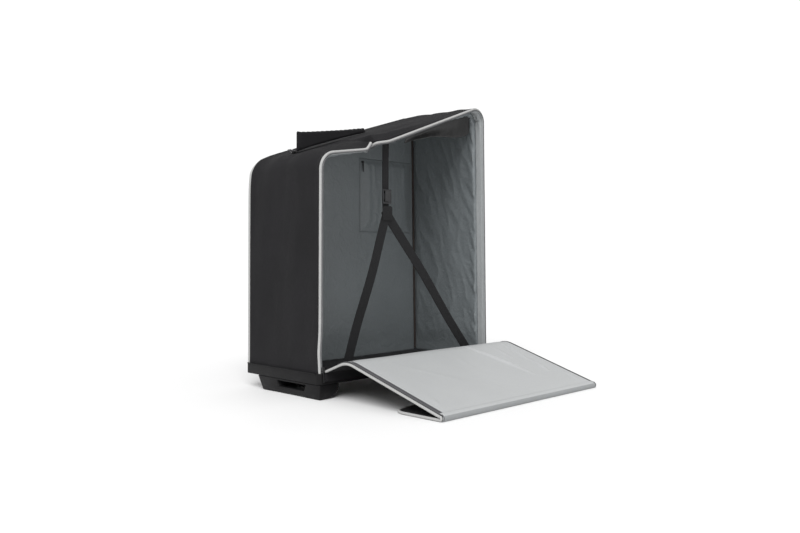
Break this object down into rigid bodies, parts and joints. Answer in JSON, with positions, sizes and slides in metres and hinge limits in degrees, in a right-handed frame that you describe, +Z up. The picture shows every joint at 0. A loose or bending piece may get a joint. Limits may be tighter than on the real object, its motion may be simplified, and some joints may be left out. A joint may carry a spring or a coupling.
{
  "type": "soft bike travel bag",
  "caption": "Soft-sided travel bag for a folded bicycle, upright on a hard base with wheels and a hand grip, its padded front lid unzipped and lying open.",
  "frame": {"origin": "centre of the footprint on the floor, under the middle of the bag with its lid lying open", "axes": "+Z up, +X to the right along the bag's width as seen from its open front, +Y from the open front to the back"},
  "size_m": [0.6216, 0.64, 0.7375],
  "materials": {
    "black_canvas": "matte woven polyester",
    "grey_lining": "satin coated lining cloth",
    "light_piping": "woven piping, light grey",
    "grey_foam": "soft closed-cell foam",
    "grey_board": "plain stiffener board",
    "dark_tape": "woven zip tape",
    "black_plastic": "fine-grained moulding",
    "black_webbing": "ribbed webbing",
    "black_rubber": "matte tread rubber",
    "dark_metal": "dark plated steel",
    "bright_metal": "nickel plated wire",
    "brown_binding": "brown-grey seam binding"
  },
  "bodies": {
    "bag": {"base_tray": "black_plastic", "grip_end": "black_plastic", "bracket_front": "black_plastic", "bracket_rear": "black_plastic", "axle_front": "dark_metal", "axle_rear": "dark_metal", "gusset_outer": "black_canvas", "gusset_foam": "grey_foam", "gusset_lining": "grey_lining", "body_zip_tape": "dark_tape", "back_outer": "black_canvas", "back_board": "grey_board", "back_lining": "grey_lining", "piping_front": "light_piping", "piping_rear": "light_piping", "floor_pad": "grey_foam", "seam_binding": "brown_binding", "zip_coil": "dark_tape", "back_pocket": "grey_lining", "pocket_zip": "dark_tape", "handle_seat": "black_webbing", "ring_tab": "black_webbing", "strap_left": "black_webbing", "strap_right": "black_webbing", "strap_top": "black_webbing", "yoke_patch": "black_webbing", "strap_anchor_left": "black_webbing", "strap_anchor_right": "black_webbing", "buckle_frame": "black_plastic", "hinge_binding": "black_canvas"},
    "lid_strip": {"strip_outer": "black_canvas", "strip_foam": "grey_foam", "strip_lining": "grey_lining", "strip_piping_left": "light_piping", "strip_piping_right": "light_piping"},
    "lid_lower": {"lower_outer": "black_canvas", "lower_board": "grey_board", "lower_lining": "grey_lining", "lower_piping_left": "light_piping", "lower_piping_right": "light_piping", "lower_zip_tape_left": "dark_tape", "lower_zip_tape_right": "dark_tape"},
    "lid_upper": {"upper_outer": "black_canvas", "upper_board": "grey_board", "upper_lining": "grey_lining", "upper_piping": "light_piping", "upper_zip_tape": "dark_tape"},
    "wheel_front": {"hub_front": "black_plastic", "tyre_front": "black_rubber"},
    "wheel_rear": {"hub_rear": "black_plastic", "tyre_rear": "black_rubber"},
    "handle": {"carry_handle": "black_canvas"},
    "ring": {"d_ring": "bright_metal"},
    "slider_left": {"zip_slider_left": "dark_metal"},
    "puller_left": {"zip_puller_left": "dark_metal"},
    "slider_right": {"zip_slider_right": "dark_metal"},
    "puller_right": {"zip_puller_right": "dark_metal"},
    "pocket_slider": {"pocket_slider": "dark_metal"},
    "pocket_puller": {"pocket_puller": "dark_metal"},
    "cam_lever": {"cam_lever": "dark_metal"}
  },
  "joints": [
    {"name": "lid_hinge", "type": "hinge", "parent": "bag", "child": "lid_strip", "pos_m": [-0.306, 0.02795, 0.0615], "axis": [-1, 0, 0], "range_deg": [0, 68.3]},
    {"name": "strip_bend", "type": "hinge", "parent": "lid_strip", "child": "lid_lower", "pos_m": [-0.306, -0.04174, 0.08923], "axis": [-1, 0, 0], "range_deg": [0, 38.32]},
    {"name": "lid_fold", "type": "hinge", "parent": "lid_lower", "child": "lid_upper", "pos_m": [-0.306, -0.31863, 0.0066], "axis": [-1, 0, 0], "range_deg": [0, 163.38]},
    {"name": "wheel_front_spin", "type": "hinge", "parent": "bag", "child": "wheel_front", "pos_m": [0.276, 0.07125, 0.0145], "axis": [0, 1, 0], "continuous": true},
    {"name": "wheel_rear_spin", "type": "hinge", "parent": "bag", "child": "wheel_rear", "pos_m": [0.276, 0.27925, 0.0145], "axis": [0, 1, 0], "continuous": true},
    {"name": "handle_swing", "type": "hinge", "parent": "bag", "child": "handle", "pos_m": [-0.26156, 0.18025, 0.585], "axis": [0.9557, 0, 0.2944], "range_deg": [-80, 80]},
    {"name": "ring_swing", "type": "hinge", "parent": "bag", "child": "ring", "pos_m": [-0.26589, 0.18025, 0.58105], "axis": [0, 1, 0], "range_deg": [0, 55]},
    {"name": "slider_left_run", "type": "slide", "parent": "bag", "child": "slider_left", "axis": [0.0075, 0, 1], "range_m": [0, 0.44]},
    {"name": "puller_left_swing", "type": "hinge", "parent": "slider_left", "child": "puller_left", "pos_m": [-0.29953, 0.02775, 0.0675], "axis": [-1, 0, 0], "range_deg": [0, 150]},
    {"name": "slider_right_run", "type": "slide", "parent": "bag", "child": "slider_right", "axis": [-0.0195, 0, 0.9998], "range_m": [0, 0.6]},
    {"name": "puller_right_swing", "type": "hinge", "parent": "slider_right", "child": "puller_right", "pos_m": [0.29909, 0.02775, 0.0675], "axis": [-1, 0, 0], "range_deg": [0, 150]},
    {"name": "pocket_slider_run", "type": "slide", "parent": "bag", "child": "pocket_slider", "axis": [1, 0, 0], "range_m": [0, 0.187]},
    {"name": "pocket_puller_swing", "type": "hinge", "parent": "pocket_slider", "child": "pocket_puller", "pos_m": [0.07647, 0.29915, 0.59317], "axis": [-1, 0, 0], "range_deg": [0, 150]},
    {"name": "lever_tip", "type": "hinge", "parent": "bag", "child": "cam_lever", "pos_m": [-0.06, 0.06275, 0.4655], "axis": [1, 0, 0], "range_deg": [0, 70], "stiffness_Nm_per_rad": 0.01, "springref_deg": -28.65}
  ],
  "couplings": [
    {"joint": "strip_bend", "follows": "lid_hinge", "ratio": 0.561}
  ]
}
